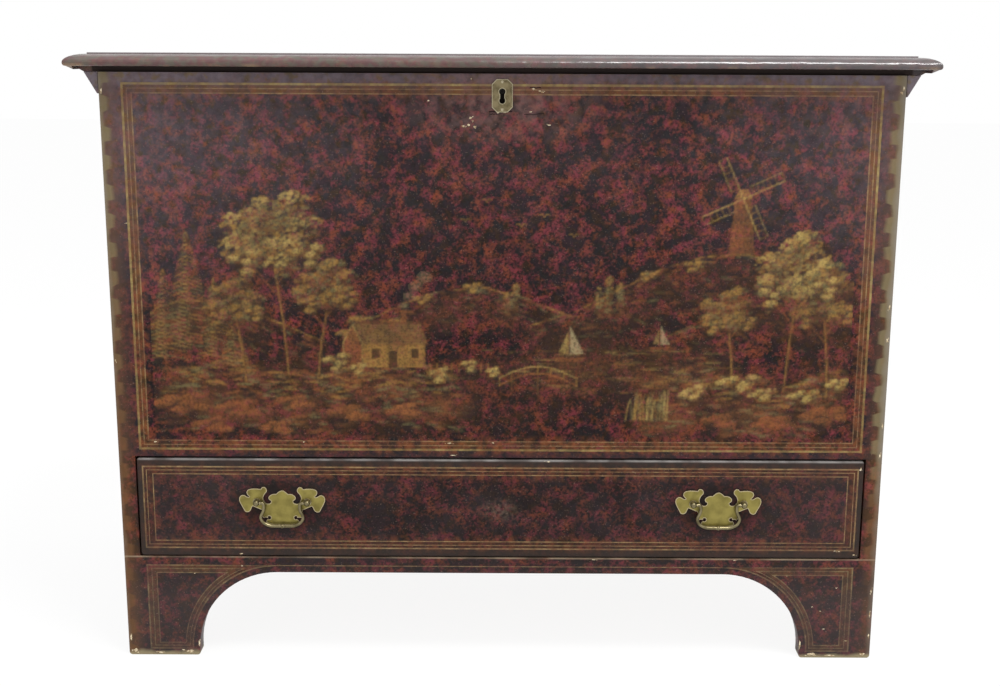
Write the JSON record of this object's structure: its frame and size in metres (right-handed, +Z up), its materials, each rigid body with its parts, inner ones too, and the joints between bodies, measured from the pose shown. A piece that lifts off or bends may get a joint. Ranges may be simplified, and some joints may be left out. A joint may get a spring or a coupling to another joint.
{
  "type": "blanket chest",
  "caption": "Painted pine blanket chest with a hinged moulded lid, a long drawer below, bracket feet, brass bail handles and a keyhole plate.",
  "frame": {"origin": "on the floor under the middle of the overall box: midway along the lid, and midway between the lid's front nose and the back of the hinge knuckles", "axes": "+X along the front to the viewer's right, +Y from the front to the back, +Z up"},
  "size_m": [1.025, 0.4994, 0.7645],
  "materials": {
    "japanned_pine": "tortoiseshell japanning under a glossy aged varnish",
    "bare_pine": "planed and aged",
    "brass": "cast, filed and aged",
    "iron": "forged and blackened"
  },
  "bodies": {
    "carcase": {"left_side": "japanned_pine", "right_side": "japanned_pine", "front_panel": "japanned_pine", "front_apron": "japanned_pine", "chest_bottom": "bare_pine", "back_board_bottom": "bare_pine", "back_board_middle": "bare_pine", "back_board_top": "bare_pine", "left_drawer_runner": "bare_pine", "right_drawer_runner": "bare_pine", "drawer_stops": "bare_pine", "corner_blocks": "bare_pine", "front_nails": "iron", "back_nails": "iron", "runner_nails": "iron", "left_hinge_case_leaf": "iron", "right_hinge_case_leaf": "iron", "left_hinge_pin": "iron", "right_hinge_pin": "iron", "hinge_case_screws": "iron", "lock_case": "iron", "lock_cap": "iron", "lock_key_pin": "iron", "lock_screws": "iron", "keyhole_escutcheon": "brass", "escutcheon_pins": "brass"},
    "lid": {"lid_board": "japanned_pine", "left_lid_batten": "japanned_pine", "right_lid_batten": "japanned_pine", "left_hinge_lid_leaf": "iron", "right_hinge_lid_leaf": "iron", "hinge_lid_screws": "iron", "lock_link_plate": "iron", "link_plate_screws": "iron"},
    "drawer": {"drawer_front": "japanned_pine", "drawer_left_side": "bare_pine", "drawer_right_side": "bare_pine", "drawer_back": "bare_pine", "drawer_bottom": "bare_pine", "left_handle_plate": "brass", "right_handle_plate": "brass", "left_handle_posts": "brass", "right_handle_posts": "brass", "left_handle_nuts": "iron", "right_handle_nuts": "iron"},
    "left_bail": {"left_handle_bail": "brass"},
    "right_bail": {"right_handle_bail": "brass"},
    "bolt": {"lock_bolt": "iron"}
  },
  "joints": [
    {"name": "lid_hinge", "type": "hinge", "parent": "carcase", "child": "lid", "pos_m": [0, 0.2452, 0.74225], "axis": [-1, 0, 0], "range_deg": [0, 100]},
    {"name": "drawer_slide", "type": "slide", "parent": "carcase", "child": "drawer", "axis": [0, -1, 0], "range_m": [0, 0.36]},
    {"name": "left_bail_swing", "type": "hinge", "parent": "drawer", "child": "left_bail", "pos_m": [-0.276, -0.2271, 0.209], "axis": [-1, 0, 0], "range_deg": [0, 90]},
    {"name": "right_bail_swing", "type": "hinge", "parent": "drawer", "child": "right_bail", "pos_m": [0.276, -0.2271, 0.209], "axis": [-1, 0, 0], "range_deg": [0, 90]},
    {"name": "bolt_throw", "type": "slide", "parent": "carcase", "child": "bolt", "axis": [1, 0, 0], "range_m": [0, 0.008]}
  ]
}
